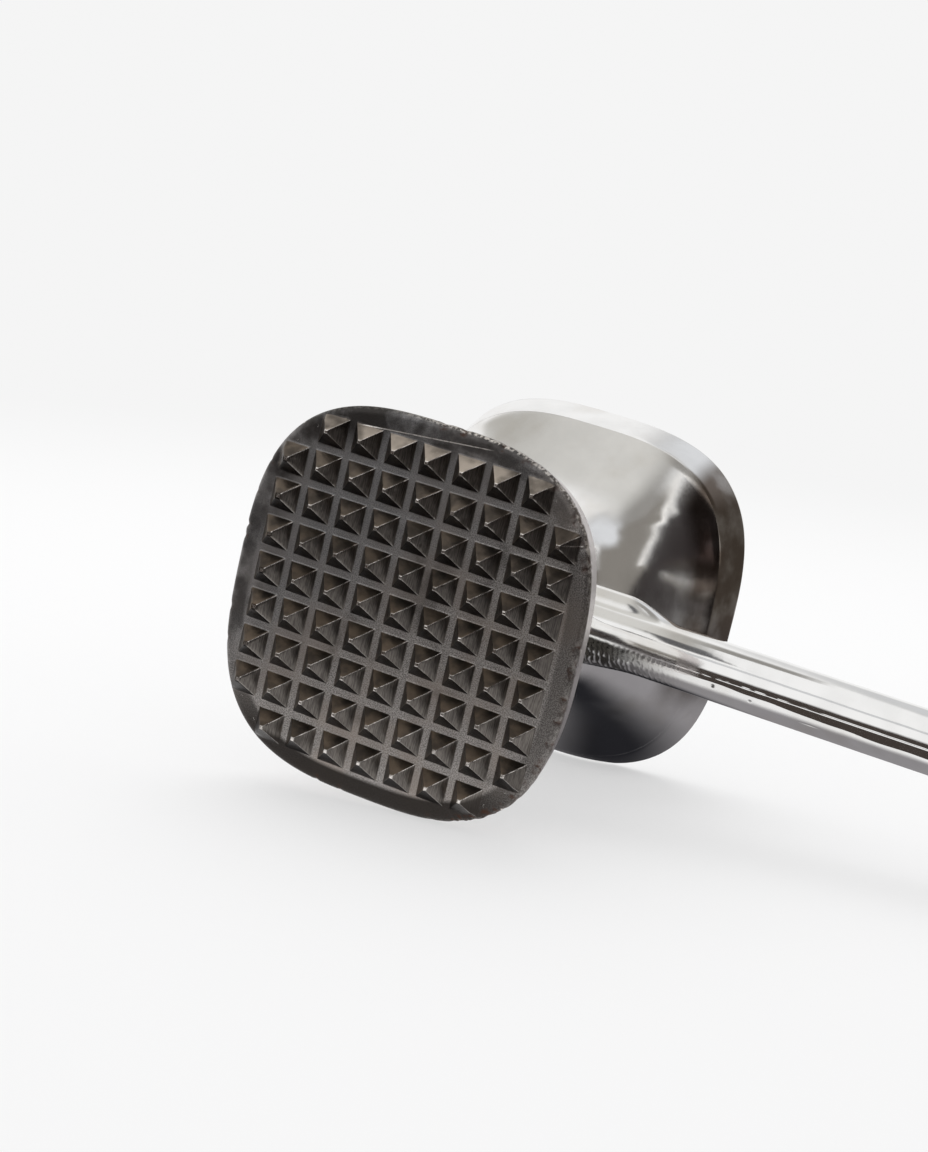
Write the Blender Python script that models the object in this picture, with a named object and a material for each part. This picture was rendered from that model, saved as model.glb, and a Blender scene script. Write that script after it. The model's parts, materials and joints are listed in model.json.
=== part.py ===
"""Meat mallet: two striking plates on a waisted head body, with a round bar handle.

Lengths are in metres, +Z is up and the floor is at z = 0. The mallet lies as it is put
down: the rims of both plates and the butt of the handle touch the floor. The origin is
on the floor, below the middle of the mallet's box.
"""

import math

import bmesh
import bpy
from mathutils import Vector

# Striking faces: a square with swelling sides, drawn as a superellipse
FACE_WIDTH = 0.0637
FACE_EXPONENT = 3.0
HEAD_LENGTH = 0.0684
EDGE_ROUND = 0.0011
PLATE_DEPTH = 0.0076
RIM_INSET = 0.0019
FACE_SKIN = 0.0030

# Teeth: pyramids with worn tips, parted by flat grooves
TOOTH_PITCH = 0.00635
TOOTH_HEIGHT = 0.0029
TOOTH_TIP = 0.0006
GROOVE_WIDTH = 0.0012
TOOTH_ROOT = 0.0008

# Head body: a spool, squarer at its waist than at the seats of the plates
WAIST_WIDTH = 0.0330
WAIST_HEIGHT = 0.0300
WAIST_EXPONENT = 4.0
FLARE_POWER = 2.6

# Handle: a tang in the socket, a swollen root whose shoulder seats in a counterbore, a thin neck, a grip
HANDLE_REACH = 0.2150
ROOT_DIAMETER = 0.0138
ROOT_END = 0.0330
ROOT_POWER = 1.3
SHOULDER_DEPTH = 0.0035
NECK_DIAMETER = 0.01025
NECK_END = 0.0900
GRIP_START = 0.1500
GRIP_DIAMETER = 0.0150
TANG_PAST_ROD = 0.0060
TANG_CHAMFER = 0.0010
HANG_HOLE_DIAMETER = 0.0070
HANG_HOLE_SETBACK = 0.0115
BUTT_FLAT = 0.0015

# Rod and pins inside the head
ROD_DIAMETER = 0.0050
DOWEL_DIAMETER = 0.0040
DOWEL_SPACING = 0.0360
DOWEL_IN_BODY = 0.0060
PIN_CHAMFER = 0.0005

# Clearance between pieces that touch, and how far a cutter passes the face it cuts
FIT_GAP = 0.0003
CUT_PAST = 0.0020

# Finishes: colour, then roughness
CAST_DARK = ((0.16, 0.145, 0.135), 0.45)
POLISHED = ((0.78, 0.78, 0.77), 0.14)
PIN_STEEL = ((0.56, 0.56, 0.57), 0.3)

# Fineness of the round shapes
OUTLINE_POINTS = 96
BODY_POINTS = 64
BODY_SECTIONS = 17
HANDLE_POINTS = 40
PIN_POINTS = 16
ROUND_STEPS = 4
ROOT_STEPS = 7
SWELL_STEPS = 10
BUTT_STEPS = 8
SMOOTH_ANGLE = math.radians(32)
TILT_TOLERANCE = 1e-9

# Sizes that follow from the ones above
FACE_HALF = FACE_WIDTH / 2
SEAT_HALF = FACE_HALF - RIM_INSET
BODY_HALF_LENGTH = HEAD_LENGTH / 2 - PLATE_DEPTH - FIT_GAP
PLATE_HOLE_DEPTH = PLATE_DEPTH - FACE_SKIN
BUTT_RADIUS = GRIP_DIAMETER / 2
NECK_RADIUS = NECK_DIAMETER / 2
ROOT_RADIUS = ROOT_DIAMETER / 2
WAIST_SIDE = WAIST_WIDTH / 2
SHOULDER_AT = WAIST_SIDE - SHOULDER_DEPTH
TANG_TIP = -(ROD_DIAMETER / 2 + TANG_PAST_ROD)
QUARTER_TURN = math.pi / 2
CIRCLE_EXPONENT = 2


def clear_scene():
    for old in list(bpy.data.objects):
        bpy.data.objects.remove(old, do_unlink=True)


def metal(name, colour, roughness):
    """Make a plain metal material."""
    made = bpy.data.materials.new(name)
    made.use_nodes = True
    shader = made.node_tree.nodes["Principled BSDF"]
    shader.inputs["Base Color"].default_value = (*colour, 1.0)
    shader.inputs["Roughness"].default_value = roughness
    shader.inputs["Metallic"].default_value = 1.0
    return made


def place(piece, parent, location=(0, 0, 0), rotation=(0, 0, 0)):
    piece.parent = parent
    piece.location = location
    piece.rotation_euler = rotation
    return piece


def superellipse(half_x, half_y, exponent, count):
    """Points of a superellipse, closest together at its rounded corners."""
    points = []
    for index in range(count):
        turn = math.tau * index / count
        across = math.cos(turn)
        up = math.sin(turn)
        x = half_x * math.copysign(abs(across) ** (2 / exponent), across)
        y = half_y * math.copysign(abs(up) ** (2 / exponent), up)
        points.append((x, y))
    return points


def loft(name, sections, finish=None):
    """Skin a row of (height, outline) sections, all with as many points, and cap both ends."""
    mesh = bpy.data.meshes.new(name)
    shape = bmesh.new()
    rings = []
    for height, outline in sections:
        rings.append([shape.verts.new((x, y, height)) for x, y in outline])
    count = len(rings[0])
    for lower, upper in zip(rings, rings[1:]):
        for index in range(count):
            after = (index + 1) % count
            shape.faces.new((lower[index], lower[after], upper[after], upper[index]))
    shape.faces.new(list(reversed(rings[0])))
    shape.faces.new(rings[-1])
    bmesh.ops.recalc_face_normals(shape, faces=shape.faces)
    shape.to_mesh(mesh)
    shape.free()
    mesh.shade_smooth()
    mesh.set_sharp_from_angle(angle=SMOOTH_ANGLE)
    piece = bpy.data.objects.new(name, mesh)
    bpy.context.collection.objects.link(piece)
    if finish:
        mesh.materials.append(finish)
    return piece


def turned(name, profile, count, finish=None):
    """Skin a row of (height, radius) rings about Z."""
    sections = []
    for height, radius in profile:
        sections.append((height, superellipse(radius, radius, CIRCLE_EXPONENT, count)))
    return loft(name, sections, finish)


def hide(helper):
    """Keep a shape that only cuts or adds to another out of the finished model."""
    helper.hide_render = True
    helper.display_type = "WIRE"


def cut_hole(piece, name, radius, start, end, axis, at=(0, 0, 0), count=PIN_POINTS):
    """Drill a round hole along a local axis of a piece, from start to end along that axis."""
    drill = turned(name, [(start, radius), (end, radius)], count)
    rotation = {"X": (0, QUARTER_TURN, 0), "Y": (-QUARTER_TURN, 0, 0), "Z": (0, 0, 0)}[axis]
    place(drill, piece, at, rotation)
    hide(drill)
    hole = piece.modifiers.new(name, "BOOLEAN")
    hole.operation = "DIFFERENCE"
    hole.solver = "EXACT"
    hole.object = drill


def grow(piece, name, added):
    """Unite a shape with a piece."""
    hide(added)
    joined = piece.modifiers.new(name, "BOOLEAN")
    joined.operation = "UNION"
    joined.solver = "EXACT"
    joined.object = added


def tooth_centres():
    """Places of the teeth: every pitch point whose whole tooth stands inside the outline."""
    most = int(FACE_HALF / TOOTH_PITCH)
    reach = (TOOTH_PITCH - GROOVE_WIDTH) / 2
    centres = []
    for row in range(-most, most + 1):
        for column in range(-most, most + 1):
            far_x = abs(column) * TOOTH_PITCH + reach
            far_y = abs(row) * TOOTH_PITCH + reach
            if (far_x / FACE_HALF) ** FACE_EXPONENT + (far_y / FACE_HALF) ** FACE_EXPONENT < 1:
                centres.append((column * TOOTH_PITCH, row * TOOTH_PITCH))
    return centres


def tooth_field(name):
    """All teeth as separate truncated pyramids, each with a straight root below the face."""
    base = (TOOTH_PITCH - GROOVE_WIDTH) / 2
    levels = ((-TOOTH_ROOT, base), (0, base), (TOOTH_HEIGHT, TOOTH_TIP / 2))
    corners = ((-1, -1), (1, -1), (1, 1), (-1, 1))
    mesh = bpy.data.meshes.new(name)
    shape = bmesh.new()
    for centre_x, centre_y in tooth_centres():
        rings = []
        for height, half in levels:
            ring = [(centre_x + half * x, centre_y + half * y, height) for x, y in corners]
            rings.append([shape.verts.new(point) for point in ring])
        for lower, upper in zip(rings, rings[1:]):
            for index in range(len(corners)):
                after = (index + 1) % len(corners)
                shape.faces.new((lower[index], lower[after], upper[after], upper[index]))
        shape.faces.new(list(reversed(rings[0])))
        shape.faces.new(rings[-1])
    shape.to_mesh(mesh)
    shape.free()
    field = bpy.data.objects.new(name, mesh)
    bpy.context.collection.objects.link(field)
    return field


def dowel_places():
    """Left and right of the head's axis, along the handle."""
    return {"left": -DOWEL_SPACING / 2, "right": DOWEL_SPACING / 2}


def striking_plate(name, finish):
    """A plate with its face up at z = 0: rounded edge, rim drawn in towards the body, blind holes."""
    sections = [(-PLATE_DEPTH, superellipse(SEAT_HALF, SEAT_HALF, FACE_EXPONENT, OUTLINE_POINTS))]
    for step in range(ROUND_STEPS + 1):
        turn = QUARTER_TURN * step / ROUND_STEPS
        half = FACE_HALF - EDGE_ROUND * (1 - math.cos(turn))
        height = -EDGE_ROUND * (1 - math.sin(turn))
        sections.append((height, superellipse(half, half, FACE_EXPONENT, OUTLINE_POINTS)))
    plate = loft(name, sections, finish)
    start = -PLATE_DEPTH - CUT_PAST
    rod_end = PLATE_HOLE_DEPTH - PLATE_DEPTH
    cut_hole(plate, name + "_rod_hole", ROD_DIAMETER / 2 + FIT_GAP, start, rod_end, "Z")
    for side, offset in dowel_places().items():
        hole = f"{name}_{side}_hole"
        cut_hole(plate, hole, DOWEL_DIAMETER / 2 + FIT_GAP, start, rod_end, "Z", (offset, 0, 0))
    return plate


def toothed_plate(finish):
    plate = striking_plate("toothed_plate", finish)
    grow(plate, "teeth", place(tooth_field("teeth"), plate))
    return plate


def flared(middle, end, share):
    """A size of the body at a share of the way from its waist to its seat."""
    return middle + (end - middle) * abs(share) ** FLARE_POWER


def head_body(finish):
    """Casting along local Z, X along the handle: a spool between the seats of the plates."""
    sections = []
    for index in range(BODY_SECTIONS):
        share = 2 * index / (BODY_SECTIONS - 1) - 1
        half_x = flared(WAIST_SIDE, SEAT_HALF, share)
        half_y = flared(WAIST_HEIGHT / 2, SEAT_HALF, share)
        exponent = flared(WAIST_EXPONENT, FACE_EXPONENT, share)
        outline = superellipse(half_x, half_y, exponent, BODY_POINTS)
        sections.append((share * BODY_HALF_LENGTH, outline))
    body = loft("head_body", sections, finish)
    past = BODY_HALF_LENGTH + CUT_PAST
    cut_hole(body, "rod_bore", ROD_DIAMETER / 2 + FIT_GAP, -past, past, "Z")
    tang_end = TANG_TIP - FIT_GAP
    mouth = WAIST_SIDE + CUT_PAST
    cut_hole(body, "handle_socket", NECK_RADIUS + FIT_GAP, tang_end, mouth, "X", count=HANDLE_POINTS)
    seat = SHOULDER_AT - FIT_GAP
    cut_hole(body, "counterbore", ROOT_RADIUS + FIT_GAP, seat, mouth, "X", count=HANDLE_POINTS)
    floor = BODY_HALF_LENGTH - DOWEL_IN_BODY
    for side, offset in dowel_places().items():
        radius = DOWEL_DIAMETER / 2 + FIT_GAP
        cut_hole(body, f"{side}_upper_hole", radius, floor, past, "Z", (offset, 0, 0))
        cut_hole(body, f"{side}_lower_hole", radius, -past, -floor, "Z", (offset, 0, 0))
    return body


def eased(share):
    """Smooth step from 0 to 1."""
    return share * share * (3 - 2 * share)


def handle(finish):
    """Bar along local Z from the tang in the head to the round butt, crossed by two holes."""
    profile = [(TANG_TIP, NECK_RADIUS - TANG_CHAMFER), (TANG_TIP + TANG_CHAMFER, NECK_RADIUS)]
    profile.append((SHOULDER_AT, NECK_RADIUS))
    profile.append((SHOULDER_AT, ROOT_RADIUS))
    for step in range(ROOT_STEPS + 1):
        share = step / ROOT_STEPS
        along = WAIST_SIDE + (ROOT_END - WAIST_SIDE) * share
        profile.append((along, NECK_RADIUS + (ROOT_RADIUS - NECK_RADIUS) * (1 - share) ** ROOT_POWER))
    for step in range(SWELL_STEPS + 1):
        share = step / SWELL_STEPS
        along = NECK_END + (GRIP_START - NECK_END) * share
        profile.append((along, NECK_RADIUS + (BUTT_RADIUS - NECK_RADIUS) * eased(share)))
    butt = HANDLE_REACH - BUTT_RADIUS
    for step in range(BUTT_STEPS):
        turn = QUARTER_TURN * step / BUTT_STEPS
        profile.append((butt + BUTT_RADIUS * math.sin(turn), BUTT_RADIUS * math.cos(turn)))
    profile.append((HANDLE_REACH, BUTT_FLAT / 2))
    bar = turned("handle", profile, HANDLE_POINTS, finish)
    eye_past = NECK_RADIUS + CUT_PAST
    cut_hole(bar, "tang_eye", ROD_DIAMETER / 2 + FIT_GAP, -eye_past, eye_past, "Y")
    hang_past = BUTT_RADIUS + CUT_PAST
    hang_at = (0, 0, HANDLE_REACH - HANG_HOLE_SETBACK)
    cut_hole(bar, "hang_hole", HANG_HOLE_DIAMETER / 2, -hang_past, hang_past, "Y", hang_at, HANDLE_POINTS)
    return bar


def pin(name, diameter, half_length, finish):
    """Straight pin along local Z with chamfered ends."""
    radius = diameter / 2
    shoulder = half_length - PIN_CHAMFER
    tip = radius - PIN_CHAMFER
    profile = [(-half_length, tip), (-shoulder, radius), (shoulder, radius), (half_length, tip)]
    return turned(name, profile, PIN_POINTS, finish)


def face_reach(tilt):
    """How far the outline of a face reaches from its centre, in a direction tilted off its axis."""
    power = FACE_EXPONENT / (FACE_EXPONENT - 1)
    return FACE_HALF * (math.cos(tilt) ** power + math.sin(tilt) ** power) ** (1 / power)


def resting_tilt():
    """Slope of the handle when the butt and the rims of the plates stand on the floor."""
    low = 0.0
    high = QUARTER_TURN / 2
    while high - low > TILT_TOLERANCE:
        tilt = (low + high) / 2
        butt_height = face_reach(tilt) - (HANDLE_REACH - BUTT_RADIUS) * math.sin(tilt) - BUTT_RADIUS
        if butt_height > 0:
            low = tilt
        else:
            high = tilt
    return tilt


def resting_frame():
    """Empty at the middle of the head, tilted so that the mallet lies on the floor."""
    tilt = resting_tilt()
    reach = face_reach(tilt)
    right = (HANDLE_REACH - BUTT_RADIUS) * math.cos(tilt) + BUTT_RADIUS
    frame = bpy.data.objects.new("mallet", None)
    bpy.context.collection.objects.link(frame)
    frame.location = Vector(((reach - right) / 2, TOOTH_HEIGHT / 2, reach))
    frame.rotation_euler = (0, tilt, 0)
    return frame


def build():
    clear_scene()
    frame = resting_frame()
    cast = metal("cast_dark", *CAST_DARK)
    bright = metal("polished", *POLISHED)
    steel = metal("pin_steel", *PIN_STEEL)

    facing_front = (QUARTER_TURN, 0, 0)
    facing_rear = (-QUARTER_TURN, 0, 0)
    face = HEAD_LENGTH / 2
    place(toothed_plate(cast), frame, (0, -face, 0), facing_front)
    place(striking_plate("smooth_plate", bright), frame, (0, face, 0), facing_rear)
    place(head_body(bright), frame, rotation=facing_front)
    place(handle(bright), frame, rotation=(0, QUARTER_TURN, 0))

    rod_half = face - FACE_SKIN - FIT_GAP
    place(pin("tie_rod", ROD_DIAMETER, rod_half, steel), frame, rotation=facing_front)
    inner = BODY_HALF_LENGTH - DOWEL_IN_BODY + FIT_GAP
    dowel_half = (rod_half - inner) / 2
    for end, sign in (("front", -1), ("rear", 1)):
        for side, offset in dowel_places().items():
            dowel = pin(f"dowel_{end}_{side}", DOWEL_DIAMETER, dowel_half, steel)
            place(dowel, frame, (offset, sign * (inner + dowel_half), 0), facing_front)


build()
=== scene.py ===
"""Looks of the meat mallet: a dark toothed plate, a polished waisted head and a polished bar handle.

Lengths are in metres. The pieces are modelled in the mallet's own frame: its origin is the middle of the
head, X runs along the handle, Y from the toothed face to the smooth face, and Z up across the faces.
Angles round the handle start at its front and go up.
"""

import json
import math
from types import SimpleNamespace

import bmesh
import bpy
import numpy as np
from mathutils import Matrix, Vector, noise


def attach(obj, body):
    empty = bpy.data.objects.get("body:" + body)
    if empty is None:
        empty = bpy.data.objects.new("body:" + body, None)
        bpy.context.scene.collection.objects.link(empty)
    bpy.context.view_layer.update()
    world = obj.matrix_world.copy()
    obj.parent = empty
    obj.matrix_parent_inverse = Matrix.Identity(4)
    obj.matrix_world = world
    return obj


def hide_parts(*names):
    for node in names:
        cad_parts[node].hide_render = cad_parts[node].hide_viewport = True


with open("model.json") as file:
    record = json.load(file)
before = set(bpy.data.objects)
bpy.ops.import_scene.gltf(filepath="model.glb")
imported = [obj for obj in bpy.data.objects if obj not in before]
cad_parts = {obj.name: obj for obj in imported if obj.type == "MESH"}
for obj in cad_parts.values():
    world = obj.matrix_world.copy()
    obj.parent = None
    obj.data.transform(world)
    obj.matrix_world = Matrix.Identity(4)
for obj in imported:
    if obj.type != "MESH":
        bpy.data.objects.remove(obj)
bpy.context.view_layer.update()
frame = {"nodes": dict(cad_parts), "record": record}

# Head
FACE_HALF = 0.03185
FACE_EXPONENT = 3.0
HEAD_LENGTH = 0.0684
PLATE_DEPTH = 0.0076
RIM_INSET = 0.0019
EDGE_ROUND = 0.0011
WAIST_HALF_WIDTH = 0.0165
WAIST_HALF_HEIGHT = 0.0150
WAIST_EXPONENT = 4.2
FLARE_POWER = 2.6
SEAT_GAP = 0.000004
SHOULDER_SOFT = 0.0009
SHOULDER_SAMPLES = 31

# Rings of points. For a plate: shares of the face, steps round the edge, shares of the side, back share
HEAD_POINTS = 360
RIM_POINTS = 900
BODY_SECTIONS = 101
TOOTHED_RINGS = ((0.950, 0.957), 9, (0.12, 0.3, 0.5, 0.65, 0.75, 0.85, 0.93, 1.0), 0.5)
SMOOTH_RINGS = ((0.12, 0.3, 0.5, 0.7, 0.85, 0.93), 10, np.linspace(0, 1, 18)[1:], 0.4)

# Waves of the castings: heights as shares of the half size, and wavelengths
BODY_WAVE = 0.0018
BODY_WAVELENGTH = 0.009
BODY_WAVE_ENDS = (0.75, 1.0)
CORNER_WAVE = 0.0030
CORNER_WAVELENGTH = 0.0026
CORNER_DEGREES = 9
SIDE_WAVE = 0.0012
FACE_WAVE = 0.0004
PLATE_WAVELENGTH = 0.007
SEAT_CALM = 0.002

# Teeth
TOOTH_PITCH = 0.00635
TOOTH_HEIGHT = 0.0029
TOOTH_BASE = 0.002575
TOOTH_TIP = 0.00022
TEETH_EACH_WAY = 4
ROOT_FILLET = 0.00016
TIP_FILLET = 0.00012
HALF_TOOTH_LINES = 15
MARGIN_LINES = 12
GRID_EDGE = 0.940
TOOTH_FADE = (0.955, 0.995)
FACE_REACH = 0.6 * EDGE_ROUND

# Wear of the teeth and the rim, and the rim's brightness: rubbed wear with a painted highlight along the
# upper right. Angles round the face start at the handle's side and go up
WORN_HEIGHT = (0.93, 1.0)
TIP_SHIFT = 0.00006
RIDGE_ROUND = (0.00006, 0.00015)
LEFT_HEIGHT = 0.90
LEFT_ROUND = 0.00030
NICK_ZONES = ((-62, 8, 34), (20, 100, 12), (-180, 180, 12))
NICK_WIDTH = (0.35, 1.3)
NICK_DEPTH = (0.00004, 0.00020)
NICK_EDGE = (0.955, 0.975)
NICK_REACH = 0.0028
NICK_LEAN = 0.8
RUB_EDGE = (0.985, 0.993)
RUB_REACH = (0.0005, 0.0014)
# Angles of the rim's painted highlight, along the upper right
HIGHLIGHT_FROM = (15, 40)
HIGHLIGHT_TO = (80, 112)
RUB_LEAST = 0.12
SAGS = ((0.00004, 0.009, 3), (0.000018, 0.0026, 5))
SAG_CLEAR = 0.001

# Handle
NECK_RADIUS = 0.005125
GRIP_RADIUS = 0.0075
NECK_END = 0.0900
GRIP_START = 0.1500
HANDLE_REACH = 0.2150
HANDLE_INSIDE = 0.0120
FINE_END = 0.0560
FINE_STEP = 0.00016
COARSE_STEP = 0.0012
FINE_ANGLES = (-34.0, 8.0, 0.7)
COARSE_ANGLES = (8.0, 326.0, 2.3)
BUTT_STEPS = 16
BAR_WAVE = 0.00002
BAR_WAVELENGTH = 0.006
ROOT_START = 0.0165
ROOT_BLUNT = 0.0240
ROOT_END = 0.0350
ROOT_OVER = 0.0023
ROOT_OVER_FRONT = (66.0, 100.0)
ROOT_OVER_BACK = (150.0, 180.0)
ROOT_UNDER = 0.0011
ROOT_UNDER_END = 0.0300
ROOT_UNDER_FRONT = (-25.0, -75.0)
ROOT_UNDER_BACK = (-180.0, -150.0)
HANG_HOLE_RADIUS = 0.0035
HANG_HOLE_SETBACK = 0.0115
HANG_HOLE_ROUND = 0.0007
HANG_HOLE_FLARE = (0.0050, 0.0090)
DRILL_REACH = 0.0105
DRILL_MIDDLE = 0.0005
DRILL_STEPS = 12
DRILL_POINTS = 64

# Filed flat along the handle's parting line, and the bead that stands on it
FLAT_START = 0.0280
FLAT_FULL = 0.0400
FLAT_END = 0.1000
FLAT_TOP = 3.0
FLAT_TILT = 4.0
FLAT_WIDENS = (0.045, 0.072)
FLAT_DROP = (10.0, 17.0)
FLAT_WOBBLE = 1.5
FLAT_WOBBLE_LENGTH = 0.004
FLAT_FADE = 65.0
BEAD = 0.00006
BEAD_LENGTH = 0.0011
BEAD_FULL = 0.046
BEAD_ANGLE = -1.0
BEAD_WIDTH = 1.1

# Marks of the file at the handle's root, and pits as (place along, angle, size)
MARK_TOP = (-1.0, -7.0)
MARK_BOTTOM = (-85.0, -55.0)
MARK_RAGGED = 3.0
MARK_FULL = 0.0240
MARK_END = 0.0400
MARK_DEPTH = 0.00010
MARK_WAVE = 0.00095
MARK_SLANT = 0.00001
MARK_JITTER = 3.0
MARK_EVEN = 0.6
MARK_UNEVEN = 0.9
MARK_ROUGHNESS = 0.0009
CLEAN_ANGLES = (-22.0, -34.0)
CLEAN_HEIGHT = (0.1, 0.8)
CLEAN_SHARE = 0.7
PIT_RADIUS = 0.00026
PIT_DEPTH = 0.00022
PITS = ((0.0445, -17.0, 1.0), (0.0513, -22.0, 0.7), (0.0620, -30.0, 0.5))

# Colours of the toothed plate
GROOVE_DARK = (0.218, 0.204, 0.194, 1)
GROOVE_LIGHT = (0.608, 0.572, 0.547, 1)
GROOVE_WARM = (0.402, 0.342, 0.300, 1)
GROOVE_COOL = (0.246, 0.254, 0.270, 1)
UPPER_DARK = (0.062, 0.051, 0.042, 1)
UPPER_BROWN = (0.140, 0.108, 0.080, 1)
# Upper flanks near the top of the face: painted highlight
UPPER_PAINTED_HIGHLIGHT = (0.66, 0.58, 0.50, 1)
# Right flanks of the teeth: streaks, and a lighter tone that is painted light
RIGHT_DARK = (0.129, 0.117, 0.108, 1)
RIGHT_LIGHT = (0.240, 0.218, 0.198, 1)
# Lower flanks of the teeth: painted shade, nearly black
LOWER_PAINTED_SHADE = (0.014, 0.012, 0.012, 1)
# Dark stains, and painted shade on the lower and lower right margin
STAIN_AND_SHADE = (0.034, 0.029, 0.026, 1)
# Worn bright metal, also the painted highlight on the right-hand ridges and the upper right rim
WORN_AND_HIGHLIGHT = (0.98, 0.93, 0.88, 1)
WALL = (0.72, 0.68, 0.67, 1)
RUST = (0.075, 0.038, 0.026, 1)

# Where these colours lie: shares of a tooth, of the outline or of the corner, or heights up the face
TOOTH_STARTS = (0.01, 0.06)
FLANK_EDGE = (-0.02, 0.02)
RIDGE_LINE = (0.012, 0.040)
TIP_PATCH = (0.07, 0.15)
TOP_ROW = (0.0222, 0.0235)
PALER_UP = (0.0, 0.022)
MARGIN = (0.885, 0.912)
LOWER_MARGIN = (-0.028, -0.012)
CORNER_SLOPE = 0.8
UPPER_LEFT = (-0.012, 0.026)
BLOTCH_EDGE = (0.74, 0.92)
BLOTCH_UP = (-0.002, 0.014)
WALL_EDGE = (0.0007 - HEAD_LENGTH / 2, 0.0014 - HEAD_LENGTH / 2)
SCRATCHES = (((-0.0150, 0.02774), (0.0100, 0.03009)), ((0.0254, 0.0192), (0.0304, 0.0201)))
SCRATCH_WIDTH = (0.00004, 0.00012)
SCRATCH_FADE = 0.002

# Wavelengths of the toothed plate's grain, and depths of its relief
SPECKLE = 0.00020
STREAK = 0.00013
STREAK_STRETCH = (1, 1, 14)
WARM_PATCH = 0.011
BROWN_PATCH = 0.0035
MOTTLE = 0.0045
BLOTCH = 0.0060
SPREAD = 0.009
SPARK = 0.0006
RUST_SPOT = 0.0008
CAST_SKIN = 0.0014
STREAK_RELIEF = 0.000005
SPECKLE_RELIEF = 0.000028
CAST_RELIEF = 0.00006

# Polished metal with a painted dark reflection on the rear rim beside the handle, dirt and painted shade in
# the file marks, and the pins
POLISH_BRIGHT = (0.96, 0.955, 0.945, 1)
POLISH_DULL = (0.90, 0.895, 0.885, 1)
POLISH_WARM = (0.84, 0.82, 0.79, 1)
POLISH_LINE = 0.00016
POLISH_HAZE = 0.006
POLISH_RIPPLE = 0.0035
LINE_RELIEF = 0.0000012
RIPPLE_RELIEF = 0.000016
HEAD_STRETCH = (1, 1, 10)
HEAD_HAZINESS = 0.095
BAR_STRETCH = (14, 1, 1)
BAR_HAZINESS = 0.055
# Painted dark reflection on the rear rim's side towards the handle
DARK_REFLECTION = (0.165, 0.135, 0.114, 1)
DARK_REFLECTION_FROM = (0.0190, 0.0215, -0.018)
DARK_REFLECTION_SOFT = (0.004, 0.003, 0.010)
# Dirt in the file marks and pits, also painted shade at the handle's root
DIRT_AND_SHADE = (0.036, 0.032, 0.026, 1)
STEEL_DARK = (0.50, 0.50, 0.51, 1)
STEEL_LIGHT = (0.62, 0.62, 0.63, 1)
STEEL_LINE = 0.00012
STEEL_STRETCH = (1, 12, 1)
STEEL_RELIEF = 0.000002

# Camera, in the mallet's own frame
IMAGE_HEIGHT = 1152
FOCAL_PIXELS = 2582.41
SENSOR = 36.0
EYE = Vector((0.18123, -0.39944, 0.09145))
EYE_RIGHT = Vector((0.86191, 0.45523, 0.22334))
EYE_UP = Vector((-0.28886, 0.07881, 0.95412))
EYE_FORWARD = Vector((-0.41674, 0.88688, -0.19943))

# Studio: white background, pale floor and one lamp
WHITE = (0.912, 0.912, 0.912, 1)
WORLD_LIGHT = 0.85
FLOOR_SIZE = 30
FLOOR_ALBEDO = (0.90, 0.90, 0.905, 1)
FLOOR_ROUGHNESS = 0.9
FLOOR_SPECULAR = 0.1
FLOOR_WHITENS = (0.16, 0.70)
FLOOR_GLOW = (0.58, 0.80)
LAMP_PLACE = (-0.55, 0.50, 0.95)
LAMP_ENERGY = 8.5
LAMP_SIZE = 1.2

# Dome of cards that only polished metal shows
DOME_RADIUS = 1.0
DOME_SEGMENTS = 96
DOME_FOOT = 0.0005
DOME_LOW = (0.10, 0.25)
FIRST_BOUNCE = 1.5
SIDE_GREY = (0.235, 0.22, 0.20, 1)
FLAG = (0.034, 0.029, 0.029, 1)
HORIZON = (0.055, 0.045, 0.040, 1)
STREAK_GREY = (0.60, 0.61, 0.63, 1)
BLUE_GREY = (0.70, 0.713, 0.735, 1)
STRIP = (0.95, 0.93, 0.90, 1)
STRIP_NORMAL = (-0.122, 0.867, 0.483)
STRIP_OFFSET = 0.018
STRIP_HALF = 0.037
BEHIND_STRIP = (-0.06, 0.0)
BEFORE_STRIP = (-0.10, -0.02)
PINK_STRIP = (0.42, 0.34, 0.34, 1)
PINK_NORMAL = (0.449, 0.788, 0.422)
PINK_OFFSET = 0.029
PINK_HALF = 0.020

# Card above the head, with its visor, measured from the head's middle
CEILING_DIM = (0.50, 0.49, 0.465, 1)
CEILING_BRIGHT = (0.65, 0.64, 0.615, 1)
CEILING_LOW = (0.29, 0.28, 0.265, 1)
CEILING_BRIGHTENS = (-0.045, 0.0)
CEILING_DARKENS = (0.010, 0.030)
CEILING_HEIGHT = 0.075
CEILING_LEFT = -0.100
CEILING_FRONT = -0.048
CEILING_BACK = 0.038
CEILING_RIGHT = (0.030, 0.052)
CEILING_STEP = (-0.004, 0.006)
CEILING_SOFT = 0.02
CEILING_RIGHT_SOFT = 0.010
VISOR = (0.12, 0.12, 0.125, 1)
VISOR_ACROSS = (0.010, 0.0245)
VISOR_ALONG = (-0.066, -0.027)
VISOR_SOFT = (0.004, 0.010)

# Shade on the floor that only polished metal shows, measured from the head's middle
SHADE_HEIGHT = 0.0004
UNDER_DARK = (0.016, 0.016, 0.019, 1)
UNDER_GREY = (0.27, 0.26, 0.27, 1)
UNDER_CENTRE = (0.015, 0.026, 0)
UNDER_LIGHTENS = (0.004, 0.028)
UNDER_FADE = (0.115, 0.150)
UNDER_FRONT = (-0.022, -0.008)
RIGHT_EDGE = (0.080, 0.130)
FAR_SHADE = (0.045, 0.065)
FRONT_EDGE = (-0.087, -0.063)

rng = np.random.default_rng(seed=7)


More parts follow.
